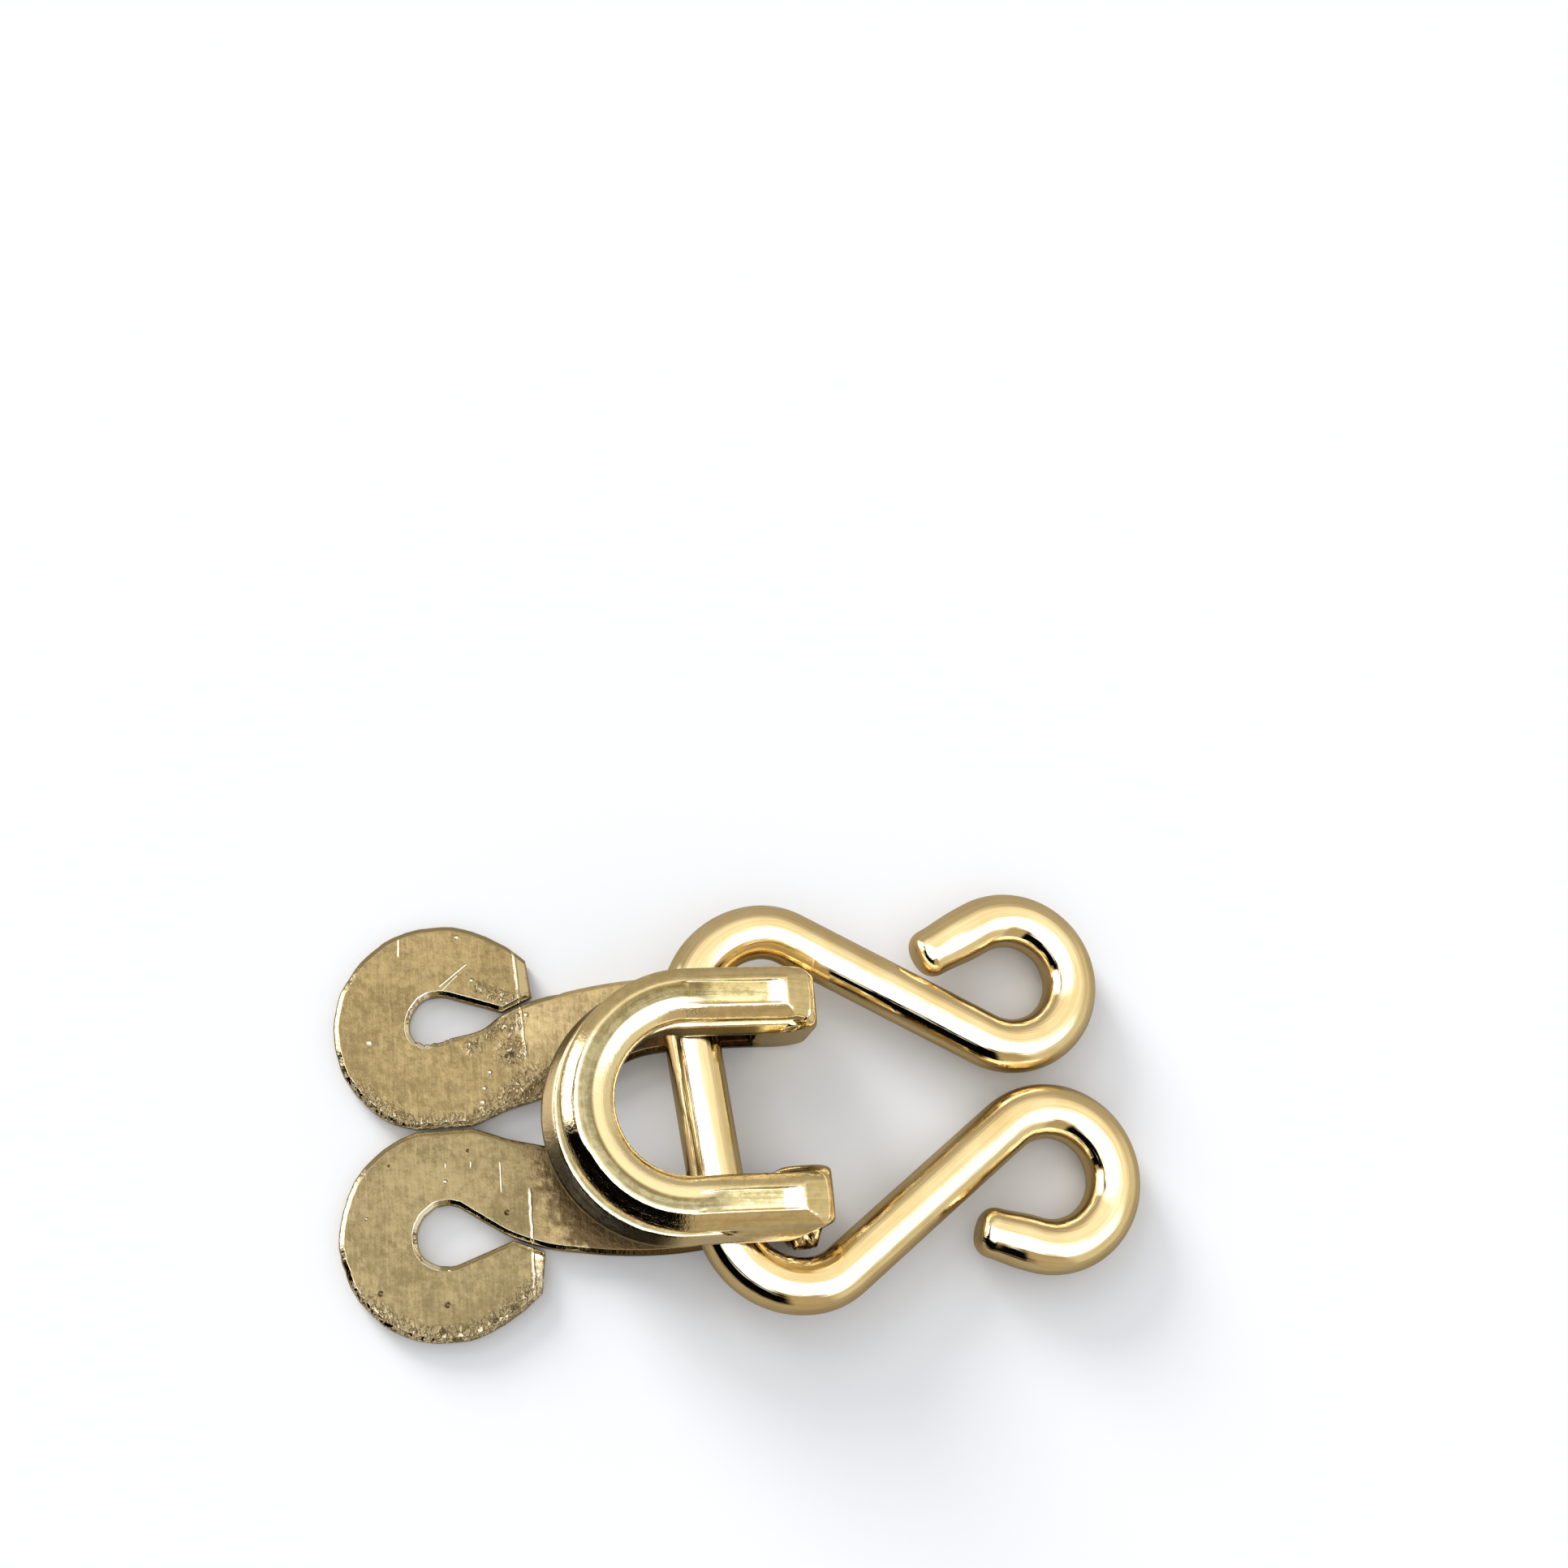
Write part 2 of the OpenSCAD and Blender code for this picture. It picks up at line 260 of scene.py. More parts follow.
def ledges(way, side):
    """Width of the ledge on the inner and the outer edge, where the bill faces a direction."""
    out = -(way[0] * LEDGE_BACK + side * way[1] * LEDGE_SIDE)
    return max(0.0, -out), max(0.0, out)


def hollow_at(x):
    """Depth of the stamped hollow along an arm, with a ramp at its end."""
    if x > HOLLOW_END:
        return HOLLOW * min(1.0, max(0.0, (RAMP_END - x) / (RAMP_END - HOLLOW_END)))
    return lerp(0.045, HOLLOW, smooth(0.2, HOLLOW_END, x)) * smooth(-0.1, 0.25, x)


def bill_side(top, end_top, share, slope, ledge, hollow):
    """Places of half a section: distance out from the edge, and height. share leads from top to end_top."""
    side = []
    for inset, height, out, crease in BILL_FOOT:
        side.append((out * ledge - inset - crease * 0.06 * min(1.0, ledge / 0.15), height))
    for p, q, stamp in zip(top, end_top, STAMPED):
        side.append((-lerp(p[0], q[0], share), BILL_T - lerp(p[1], q[1], share) - stamp * hollow))
    if slope > 0:
        (u0, z0), (u1, z1) = side[SLOPE_START], side[SLOPE_END]
        for k in range(SLOPE_START + 1, SLOPE_END):
            t = (k - SLOPE_START) / (SLOPE_END - SLOPE_START)
            u, z = side[k]
            side[k] = (lerp(u, lerp(u0, u1, t), slope), lerp(z, lerp(z0, z1, t ** 0.9), slope))
    return side


def bill_sides(x, way, side):
    """Inner and outer half of the bill's section at x, where it faces a direction."""
    inner, outer = ledges(way, side)
    hollow = hollow_at(x)
    slope = smooth(0.3, 1.5, x) if side < 0 else 0.0
    straight = smooth(-3.5, -3.2, x) if side < 0 else 0.0
    return (bill_side(NOSE_TOP, ARM_TOP, smooth(-0.6, 0.9, x), 0.0, inner, hollow),
            bill_side(OUTER_TOP, OUTER_STRAIGHT, straight, slope, outer, hollow))


def bill_ring(x, centre_x, way, side):
    """A ring of the bill at x, around a centre on the middle line."""
    inner, outer = bill_sides(x, way, side)
    base = Vector((centre_x, 0, BILL_Z))
    out = Vector((way[0], way[1], 0))
    ring = [base + out * (BILL_OUT + u) + UP * z for u, z in outer]
    ring += [base + out * (BILL_IN - u) + UP * z for u, z in reversed(inner)]
    return softened(ring)


def bill_rings(side):
    """The straight arm, and a quarter of the round nose."""
    rings = []
    for i in range(ARM_STEPS):
        x = ARM_X * (1 - i / ARM_STEPS)
        rings.append(bill_ring(x, x, (0, 1), side))
    for way in arc_points(ORIGIN, 1, 90, 180, NOSE_STEPS):
        rings.append(bill_ring(way.x * BILL_R, 0, way, side))
    return rings


def fold_ring(p, q):
    """A flat ring of the fold on a line from p, inside, to q, outside, seen from the side."""
    through = Vector((q.x - p.x, 0, q.y - p.y))
    return flat_places(Vector((p.x, FOLD_IN, p.y)), Vector((p.x, FOLD_OUT, p.y)), through)


def slanted_ring(p, q, side, width, mix):
    """A ring of the upper fold on a line from p to q.

    width leads from the fold's edges to the bill's, and mix from a flat section to the bill's.
    """
    inner, outer = bill_sides(q.x, (0, 1), side)
    line = Vector((q.x - p.x, 0, q.y - p.y))
    rounding = 0.4  # radius of the brow's side edges
    low = 0.45  # height below which the places gather at p
    halves = []
    for places, edge, fold_edge, out in ((outer, BILL_OUT, FOLD_OUT, 1), (inner, BILL_IN, FOLD_IN, -1)):
        half = []
        for k, (u, height) in enumerate(places):
            rise = (BILL_Z + max(height, low) - p.y) / (q.y - p.y)
            if height < low:
                rise *= height / low
            inset = min(max(-u, 0.0), rounding)
            corner = rounding - math.sqrt(rounding ** 2 - (rounding - inset) ** 2)
            rise = min(rise, 1 - corner / line.length - 0.002 * (HALF - 1 - k))
            y = lerp(fold_edge, edge, width) + out * (u if u < 0 else u * width)
            half.append(Vector((p.x, 0, p.y)) + line * rise + Vector((0, y, 0)))
        halves.append(half)
    ring = halves[0] + halves[1][::-1]
    return softened([a.lerp(b, mix) for a, b in zip(fold_ring(p, q), ring)])


def torn(p):
    """Pushes out the metal that was torn and squeezed at the lower outside of the near fold."""
    height = smooth(0.75, 1.0, p.z) * smooth(2.35, 2.1, p.z)
    reach = smooth(2.9, 3.3, p.x) * smooth(4.5, 4.2, p.x) * height * smooth(4.3, 4.44, p.y)
    ragged = 0.75 + 0.8 * noise.noise(Vector((p.x * 2.6, 3.0, p.z * 3.0)))
    return p + Vector((0, 0.62 * reach * min(max(ragged, 0.3), 1.0), 0))


def fold_rings(side):
    """The fold at the front, from the stem below to the straight arm above."""
    inside = arc_points((SLOT_X - SLOT_R, STRIP_T + SLOT_R), SLOT_R, -90, 0, FOLD_STEPS)
    outside = arc_points((FOLD_X - FOLD_R, FOLD_R), FOLD_R, -90, 0, FOLD_STEPS)
    rings = [softened(fold_ring(p, q)) for p, q in zip(inside, outside)]
    lower = rings[-1]
    corner = arc_points((SLOT_X - SLOT_R, BILL_Z - SLOT_R), SLOT_R, 0, 90, BROW_STEPS)
    for i in range(BROW_STEPS + 1):
        t = i / BROW_STEPS
        ring = slanted_ring(corner[i], along(BROW, t), side, smooth(0.0, 0.5, t), smooth(0.0, 0.35, t))
        if i == 0 and side < 0:
            # rings between, for the torn metal
            rings += [[a.lerp(b, k / TORN_STEPS) for a, b in zip(lower, ring)] for k in range(1, TORN_STEPS)]
        rings.append(ring)
    for i in range(1, BROW_END_STEPS):
        t = i / BROW_END_STEPS
        p = Vector((lerp(corner[-1].x, ARM_X, t), BILL_Z))
        q = Vector((lerp(BROW[-1].x, ARM_X, t), BILL_TOP))
        rings.append(slanted_ring(p, q, side, 1.0, 1.0))
    if side < 0:
        rings = [[torn(p) for p in ring] for ring in rings]
    return rings


def half_hook(side):
    return [flat_ring(a, b) for a, b in tab_edges(side)] + fold_rings(side) + bill_rings(side)


def leaned(p):
    """Both arms lean to the near side, starting gently at the nose's centre."""
    reach = 0.0 if p.x < -1 else (p.x + 1) ** 2 / 4 if p.x < 1 else p.x
    return Vector((p.x, p.y - math.tan(math.radians(ARM_LEAN)) * reach, p.z))


def make_mesh(name, rings):
    """Joins rings of equal length into one smooth closed mesh."""
    n = len(rings[0])
    verts = [tuple((p - MIDDLE) * MM) for ring in rings for p in ring]
    faces = []
    for i in range(len(rings) - 1):
        for j in range(n):
            k = (j + 1) % n
            faces.append((i * n + j, i * n + k, (i + 1) * n + k, (i + 1) * n + j))
    faces.append(tuple(reversed(range(n))))
    faces.append(tuple(range(len(verts) - n, len(verts))))
    mesh = bpy.data.meshes.new(name)
    mesh.from_pydata(verts, [], faces)
    mesh.validate()
    mesh.update()
    for polygon in mesh.polygons:
        polygon.use_smooth = True
    piece = bpy.data.objects.new(name, mesh)
    bpy.context.scene.collection.objects.link(piece)
    return piece


near_half = half_hook(-1)
whole_hook = half_hook(1) + [[Vector((p.x, -p.y, p.z)) for p in ring] for ring in reversed(near_half[:-1])]
hook = make_mesh("hook_wire", [[leaned(p) for p in ring] for ring in whole_hook])


# Eye: one round wire, laid in the slot.
WIRE_R, WIRE_SIDES = 0.987, 56
BAR_HALF, BEND_R, CORNER_R = 3.46, 2.91, 2.23
CURL_X, CURL_Y, CURL_END = 12.17, 3.65, 112
CURL_SHIFT, FAR_CURL_R, NEAR_CURL_R = 0.13, 2.38, 2.44
SPREAD = 2.24
BAR_Z = STRIP_T + 0.14 + WIRE_R
PITCH = math.asin((BAR_Z - WIRE_R - 0.01) / (CURL_X + NEAR_CURL_R + CURL_SHIFT))
EYE_X, EYE_Y, EYE_TURN = 0.66, -0.41, 2.96
DOME = 0.62


def wire_arc(c, r, a0, a1, n):
    """Places along an arc, each with the direction away from its centre."""
    return list(zip(arc_points(c, r, a0, a1, n), arc_points(ORIGIN, 1, a0, a1, n)))


def half_eye(lean, back, r, tip):
    """Stations of the wire from the bar's middle to the tip: place, direction to its left, radius."""
    bend_c = turned((BEND_R, BAR_HALF), lean)
    corner_c = turned((BEND_R, BAR_HALF + BEND_R - CORNER_R), lean)
    curl_c = Vector((CURL_X - back, CURL_Y))
    d = curl_c - corner_c
    slope = math.degrees(math.asin((CORNER_R + r) / d.length) - math.atan2(d.y, d.x))
    places = [(turned((0, BAR_HALF * i / 10), lean), turned((-1, 0), lean)) for i in range(10)]
    places += wire_arc(bend_c, BEND_R, 180 + lean, 90 + lean, 28)
    places += wire_arc(corner_c, CORNER_R, 90 + lean, 90 - slope, 14)[1:]
    last, left = places[-1]
    start = polar(curl_c, r, -90 - slope)
    places += [(last.lerp(start, i / 16), left) for i in range(1, 16)]
    places += [(p, -out) for p, out in wire_arc(curl_c, r, -90 - slope, CURL_END, 64)]
    stations = [(p, left, WIRE_R) for p, left in places]

    # a tip that tapers a little and ends in a blunt dome
    end, left = places[-1]
    onward = polar(ORIGIN, 1, CURL_END + 90)
    for i in range(1, 13):
        stations.append((end + onward * (tip - DOME) * i / 12, left, WIRE_R * (1 - 0.09 * smooth(3, 12, i))))
    for i in range(1, 15):
        a = math.radians(90 * i / 14)
        radius = WIRE_R * (0.24 + 0.67 * math.cos(a) ** 0.8)
        stations.append((end + onward * (tip - DOME + DOME * math.sin(a)), left, radius))
    return stations


def laid(p):
    """Pitches the eye so that its curls touch the floor, and turns it in the slot."""
    c, s = math.cos(PITCH), math.sin(PITCH)
    q = turned((p.x * c + p.z * s, p.y), EYE_TURN)
    return Vector((EYE_X + q.x, EYE_Y + q.y, BAR_Z + p.z * c - p.x * s))


def eye_ring(station, side):
    p, left, r = station
    ring = []
    for k in range(WIRE_SIDES):
        a = 2 * math.pi * k / WIRE_SIDES
        flat = p + left * r * math.cos(a)
        ring.append(laid(Vector((flat.x, flat.y * side, -r * math.sin(a)))))
    return ring


far_eye = half_eye(SPREAD, CURL_SHIFT, FAR_CURL_R, 2.7)
near_eye = half_eye(-SPREAD, -CURL_SHIFT, NEAR_CURL_R, 2.25)
eye_rings = [eye_ring(s, -1) for s in reversed(near_eye[1:])] + [eye_ring(s, 1) for s in far_eye]
eye = make_mesh("eye_wire", eye_rings)

# Way along the wire and place round it, for the fine lines left by drawing it.
lay = eye.data.attributes.new("lay", "FLOAT_VECTOR", "POINT")
travel = 0.0
for i, ring in enumerate(eye_rings):
    if i:
        travel += (sum(ring, Vector()) - sum(eye_rings[i - 1], Vector())).length / WIRE_SIDES
    for k in range(WIRE_SIDES):
        a = 2 * math.pi * k / WIRE_SIDES
        lay.data[i * WIRE_SIDES + k].vector = (travel, math.cos(a), math.sin(a))


class Graph:
    """Adds nodes to a tree. Each value is a number, a colour, a vector or another node's output."""

    def __init__(self, tree):
        self.tree = tree

    def put(self, socket, value):
        if isinstance(value, bpy.types.NodeSocket):
            self.tree.links.new(value, socket)
        elif socket.type == "RGBA":
            socket.default_value = value + (1.0,)
        else:
            socket.default_value = value

    def node(self, kind, inputs=None, **settings):
        """Adds a node. inputs gives values by an input's name or number, settings are the node's own."""
        node = self.tree.nodes.new("ShaderNode" + kind)
        for name, value in settings.items():
            setattr(node, name, value)
        for name, value in (inputs or {}).items():
            self.put(node.inputs[name], value)
        return node

    def math(self, operation, *values):
        return self.node("Math", dict(enumerate(values)), operation=operation).outputs[0]

    def chain(self, operation, values):
        """Joins the values one by one, from left to right."""
        out = values[0]
        for value in values[1:]:
            out = self.math(operation, out, value)
        return out

    def plus(self, *values):
        return self.chain("ADD", values)

    def times(self, *values):
        return self.chain("MULTIPLY", values)

    def largest(self, *values):
        return self.chain("MAXIMUM", values)

    def minus(self, a, b):
        return self.math("SUBTRACT", a, b)

    def absolute(self, value):
        return self.math("ABSOLUTE", value)

    def step(self, value, a, b, lo=0.0, hi=1.0):
        """Runs smoothly from lo to hi while value goes from a to b."""
        inputs = {"Value": value, "From Min": a, "From Max": b, "To Min": lo, "To Max": hi}
        return self.node("MapRange", inputs, interpolation_type="SMOOTHSTEP").outputs["Result"]

    def mix(self, factor, a, b, mode="MIX"):
        """Colour a where factor is 0, and b where it is 1."""
        return self.node("Mix", {0: factor, 6: a, 7: b}, data_type="RGBA", blend_type=mode).outputs[2]

    def noise(self, vector, scale, detail, roughness=0.5, distortion=0.0):
        inputs = {"Vector": vector, "Scale": scale, "Detail": detail, "Roughness": roughness,
                  "Distortion": distortion}
        return self.node("TexNoise", inputs).outputs["Fac"]

    def scaled(self, vector, scale):
        return self.node("Mapping", {"Vector": vector, "Scale": scale}).outputs["Vector"]

    def axes(self, vector):
        return self.node("SeparateXYZ", {0: vector}).outputs

    def distance(self, vector, place):
        return self.node("VectorMath", {0: vector, 1: place}, operation="DISTANCE").outputs["Value"]

    def bump(self, height, distance, strength, normal=None):
        node = self.node("Bump", {"Height": height, "Distance": distance, "Strength": strength})
        if normal is not None:
            self.put(node.inputs["Normal"], normal)
        return node.outputs["Normal"]

    def cells(self, vector, scale, radius, share, seed):
        """Scattered round marks, 1 in their middle. Only a share of the cells has one."""
        shifted = self.node("VectorMath", {0: vector, 1: (seed, seed * 1.7, 0.0)}, operation="ADD").outputs[0]
        cell = self.node("TexVoronoi", {"Vector": shifted, "Scale": scale, "Randomness": 1.0})
        pick = self.node("SeparateColor", {0: cell.outputs["Color"]}).outputs[0]
        chosen = self.step(pick, 1 - share - 0.01, 1 - share + 0.01)
        dot = self.step(cell.outputs["Distance"], radius * scale, radius * scale * 0.3)
        return self.times(chosen, dot)

    def spot(self, flat, x, y, radius):
        """1 at a place of the hook seen from above, fading to 0 at a radius in millimetres."""
        return self.step(self.distance(flat, (x, y, 0.0)), radius, radius * 0.25)

    def spots(self, flat, table):
        """All spots of a table in one."""
        return self.largest(*[self.spot(flat, *each) for each in table])

    def stroke(self, flat, start, end, width):
        """1 along a straight line seen from above, fading to 0 beside it."""
        a, b = Vector(start), Vector(end)
        middle, length = (a + b) / 2, (b - a).length
        inputs = {"Vector": flat, "Location": (middle.x, middle.y, 0.0),
                  "Rotation": (0.0, 0.0, math.atan2(b.y - a.y, b.x - a.x))}
        x, y, _ = self.axes(self.node("Mapping", inputs, vector_type="TEXTURE").outputs[0])
        beside = self.step(self.absolute(y), width, width * 0.3)
        within = self.step(self.absolute(x), length / 2, length / 2 - width * 2)
        return self.times(beside, within)

    def wobble(self, value, reach):
        """A noise value turned into a shift to both sides."""
        return self.times(self.minus(value, 0.5), reach)


def new_material(name):
    material = bpy.data.materials.new(name)
    material.use_nodes = True
    tree = material.node_tree
    return material, Graph(tree), tree.nodes["Principled BSDF"].inputs


def metal(name, paint):
    """A metal whose colour, roughness and normal come from a function that adds nodes to its graph."""
    material, g, shader = new_material(name)
    colour, roughness, normal = paint(g)
    g.put(shader["Metallic"], 1.0)
    g.put(shader["Base Color"], colour)
    g.put(shader["Roughness"], roughness)
    g.put(shader["Normal"], normal)
    return material


def eye_metal(g):
    """Colour, roughness and normal of the drawn wire."""
    where = g.node("TexCoord").outputs["Object"]
    wire_place = g.node("Attribute", attribute_name="lay").outputs["Vector"]
    cloud = g.noise(where, 600.0, 3.0)
    drawn = g.noise(g.scaled(wire_place, (0.16, 7.0, 7.0)), 1.0, 3.0, 0.6)
    fine_drawn = g.noise(g.scaled(wire_place, (0.5, 22.0, 22.0)), 1.0, 2.0, 0.6)
    pits = g.cells(g.scaled(where, (1000.0, 1000.0, 1000.0)), 1.3, 0.05, 0.12, 2.0)
    tone = g.plus(g.times(cloud, 0.4), g.times(drawn, 0.4), g.times(fine_drawn, 0.2))
    colour = g.mix(g.step(tone, 0.35, 0.62), (0.82, 0.65, 0.36), (0.98, 0.83, 0.55))
    colour = g.mix(g.times(pits, 0.5), colour, (0.40, 0.28, 0.13))
    roughness = g.step(tone, 0.35, 0.65, 0.095, 0.045)
    normal = g.bump(g.noise(where, 900.0, 2.0), 0.00002, 0.5)
    lines = g.plus(g.times(drawn, 0.7), g.times(fine_drawn, 0.3), g.times(pits, -0.4))
    return colour, roughness, g.bump(lines, 0.00002, 0.6, normal)


# Marks on the tabs, seen from above: place and radius, or both ends and half the width.
RAISED_SPOTS = [(-10.97, 3.21, 0.13), (-5.4, 3.88, 0.11), (-5.72, 2.38, 0.1), (-7.28, 5.25, 0.09),
                (-7.0, 1.32, 0.1), (-6.78, 1.88, 0.1), (-7.08, 0.83, 0.12), (-7.74, 6.87, 0.1),
                (-8.51, -1.86, 0.09)]
SUNK_SPOTS = [(-5.97, 2.5, 0.16), (-6.15, 2.42, 0.1), (-10.86, -5.49, 0.12), (-8.8, -6.93, 0.14),
              (-6.99, -6.71, 0.13), (-6.33, -6.3, 0.14), (-8.6, -6.06, 0.12), (-6.42, -3.08, 0.12)]
CRUMPLED = [(-5.95, 2.6, 0.75), (-6.0, 3.7, 0.75), (-6.7, 3.45, 0.6), (-7.3, 2.9, 0.5), (-6.1, 4.25, 0.5),
            (-5.6, 4.45, 0.5), (-7.0, 4.95, 0.35), (-6.6, 4.75, 0.35), (-6.2, 4.6, 0.35)]
SCRATCHES = [((-8.45, 5.08), (-7.4, 5.89), 0.045), ((-8.4, 4.9), (-7.75, 5.5), 0.035),
             ((-9.82, 6.99), (-9.85, 6.24), 0.05), ((-6.59, -1.27), (-6.59, -2.4), 0.035),
             ((-7.6, -1.19), (-7.62, -1.47), 0.035), ((-8.48, -1.18), (-8.49, -1.41), 0.035)]


def press_line(g, x, y, mottle):
    """The line that the press left across both stems."""
    slant = g.times(g.largest(g.minus(y, 2.4), 0.0), 0.071)
    from_line = g.plus(x, slant, g.step(y, -0.5, 0.5, 5.6, 5.48))
    line = g.step(g.absolute(g.plus(from_line, g.wobble(mottle, 0.12))), 0.075, 0.02)
    return g.times(line, g.step(g.absolute(y), 2.2, 2.5))


def cut_end_highlight(g, x, y, where):
    """Painted highlight on the jagged cut end of the near tab."""
    end = g.times(g.step(y, -4.4, -4.6), g.step(x, -5.62, -5.56), g.step(x, -4.6, -4.8))
    jagged = g.step(g.noise(g.scaled(where, (2.2, 1.0, 1.0)), 4.5, 3.0, 0.6), 0.42, 0.5)
    return g.times(end, g.step(jagged, 0.0, 1.0, 0.25, 1.0))


def edge_burrs(g, flat, y):
    """Burrs along the lower edge of both tabs."""
    burrs = []
    for tab_y in (TAB_Y, -TAB_Y):
        rim = g.step(g.distance(flat, (-TAB_X, tab_y, 0.0)), 2.9, 3.6)
        burrs.append(g.times(rim, g.step(g.minus(y, tab_y), -1.2, -2.4)))
    far, near = burrs
    return g.largest(g.times(far, g.step(y, -0.05, 0.05)), near)


def stem_shadow_mask(g, x, y, mottle):
    """Painted shadow along the inner edges of the stems, between two lines that follow them."""
    far_edge = g.math("MULTIPLY_ADD", x, 0.905, 6.25)
    near_edge = g.math("MULTIPLY_ADD", x, -0.66, -4.88)
    wander = g.wobble(mottle, 0.35)
    inside_far = g.step(g.plus(g.minus(far_edge, y), wander), -0.03, 0.06)
    inside_near = g.step(g.plus(g.minus(y, near_edge), wander), -0.03, 0.06)
    return g.times(inside_far, inside_near)


def hook_metal(g):
    """Colour, roughness and normal of the stamped wire. x, y and z are the places used for the shapes."""
    metres = g.node("TexCoord").outputs["Object"]
    inputs = {"Vector": metres, "Scale": (1000.0, 1000.0, 1000.0), "Location": MIDDLE}
    where = g.node("Mapping", inputs).outputs[0]
    flat = g.scaled(where, (1.0, 1.0, 0.0))
    x, y, z = g.axes(where)
    facing_up = g.axes(g.node("NewGeometry").outputs["Normal"])["Z"]
    from_nose = g.node("VectorMath", {0: flat}, operation="LENGTH").outputs["Value"]
    on_bill = g.step(z, 2.6, 2.9)
    on_tabs = g.times(g.step(x, -3.6, -4.4), g.step(z, 1.3, 1.0))
    # painted highlight along the nose's inner shoulder, which is also kept out of the flat tops
    inner_rim_highlight = g.times(g.step(from_nose, 3.5, 3.36), g.step(x, 0.9, 0.0), on_bill)
    flatness = g.times(g.step(facing_up, 0.96, 0.992), g.minus(1.0, inner_rim_highlight))

    # noise at three sizes, and streaks across the stamped tabs
    cloud = g.noise(where, 0.5, 3.0, 0.55)
    mottle = g.noise(where, 3.2, 4.0, 0.62)
    grain = g.noise(where, 11.0, 3.0, 0.6)
    streaks = g.noise(g.scaled(where, (11.0, 1.1, 1.1)), 1.0, 3.0, 0.6)
    tone = g.plus(g.times(cloud, 0.3), g.times(mottle, 0.35), g.times(streaks, 0.2), g.times(grain, 0.15))

    # lines along the drawn wire, round the nose and along the arms
    from_axis = g.absolute(g.plus(g.times(x, 0.038), y))
    across = g.node("Mix", {"Factor": g.step(x, -0.3, 0.5), "A": from_nose, "B": from_axis}).outputs["Result"]
    inputs = {"X": across, "Y": g.times(x, 0.05), "Z": g.times(y, 0.05)}
    drawn = g.noise(g.node("CombineXYZ", inputs).outputs[0], 5.5, 3.0, 0.65)
    worn = g.plus(g.times(mottle, 0.45), g.times(drawn, 0.55))

    # marks of the stamping
    raised = g.largest(g.spots(flat, RAISED_SPOTS), g.cells(flat, 1.1, 0.07, 0.14, 3.0))
    sunk = g.largest(g.spots(flat, SUNK_SPOTS), g.cells(flat, 1.5, 0.075, 0.16, 11.0))
    dashes = g.cells(g.scaled(flat, (1.0, 0.28, 1.0)), 1.9, 0.05, 0.16, 5.0)
    lines = g.largest(*[g.stroke(flat, *each) for each in SCRATCHES], dashes)
    line = press_line(g, x, y, mottle)

    # flat metal of the tabs and stems, which is low, and of the bill, which is high
    low = g.mix(g.step(tone, 0.4, 0.6), (0.24, 0.166, 0.067), (0.415, 0.295, 0.124))
    on_stem = g.step(x, -5.9, -5.2)
    stem = g.mix(on_stem, (0.82, 0.82, 0.82), (1.0, 1.0, 1.0))
    stem = g.mix(g.times(on_stem, g.step(y, -0.5, 0.5)), stem, (1.16, 1.18, 1.28))
    low = g.mix(1.0, low, stem, "MULTIPLY")
    near_tab = g.times(g.step(y, 0.4, -0.6), g.step(x, -5.2, -6.0))
    low = g.mix(near_tab, low, (0.87, 0.90, 0.93), "MULTIPLY")
    wear = g.step(worn, 0.42, 0.58)
    # flat tops of the bill: the arms' are painted lighter than the nose's, a painted reflection; wear varies
    # both
    nose_flat = g.mix(wear, (0.21, 0.162, 0.07), (0.33, 0.26, 0.12))
    lit_arm_flat = g.mix(wear, (0.47, 0.375, 0.165), (0.74, 0.62, 0.32))
    high = g.mix(g.step(x, 0.4, 1.3), nose_flat, lit_arm_flat)

    # edges and walls: a lighter colour than the flat tops, partly burnished edges and partly painted
    # highlight; duller round the tabs, with painted highlights on the nose's inner shoulder and on the rims
    # of the holes, on their side away from the bill
    burnish_and_highlight = g.mix(g.step(worn, 0.38, 0.62), (0.74, 0.62, 0.35), (0.95, 0.79, 0.50))
    burnish_and_highlight = g.mix(g.step(x, -4.0, -4.6), burnish_and_highlight, (0.52, 0.44, 0.28))
    burnish_and_highlight = g.mix(inner_rim_highlight, burnish_and_highlight, (0.98, 0.85, 0.57))
    for side in (1, -1):
        # painted highlight on the rims of the holes, on their side away from the bill
        hole = g.times(g.spot(flat, -TAB_X, HOLE_Y * side, 1.75), g.step(x, -8.7, -9.0))
        burnish_and_highlight = g.mix(g.step(hole, 0.0, 0.3), burnish_and_highlight, (1.0, 0.95, 0.82))
    colour = g.mix(flatness, burnish_and_highlight, g.mix(on_bill, low, high))

    # painted shade: the low rim below the ledge is darkened, strongly round the nose and far arm and lightly
    # along the near arm
    along_arm = g.times(g.step(x, -1.6, -0.4), g.step(y, -2.0, -3.0))
    shaded_foot = g.times(g.step(z, 3.6, 3.5), g.times(on_bill, g.step(x, 3.0, 2.4)))
    colour = g.mix(g.times(shaded_foot, 0.85), colour, g.mix(along_arm, (0.13, 0.09, 0.042), (0.75, 0.65, 0.48)))

    # painted shade: dark brown in the corner where the stems pass under the bill, and deep in the slot
    ragged = g.plus(g.distance(flat, (-0.3, -1.5, 0.0)), g.wobble(mottle, 2.6))
    shade_under_bill = g.times(g.step(ragged, 5.4, 4.3), g.step(z, 1.4, 0.9))
    colour = g.mix(g.times(shade_under_bill, 0.93), colour, (0.10, 0.058, 0.022))
    # painted shade deep in the slot
    slot_shade = g.times(g.step(x, 0.6, 0.9), g.step(x, 2.8, 2.72), g.step(z, 3.0, 2.9))
    colour = g.mix(g.times(slot_shade, 0.95), colour, (0.03, 0.011, 0.004))
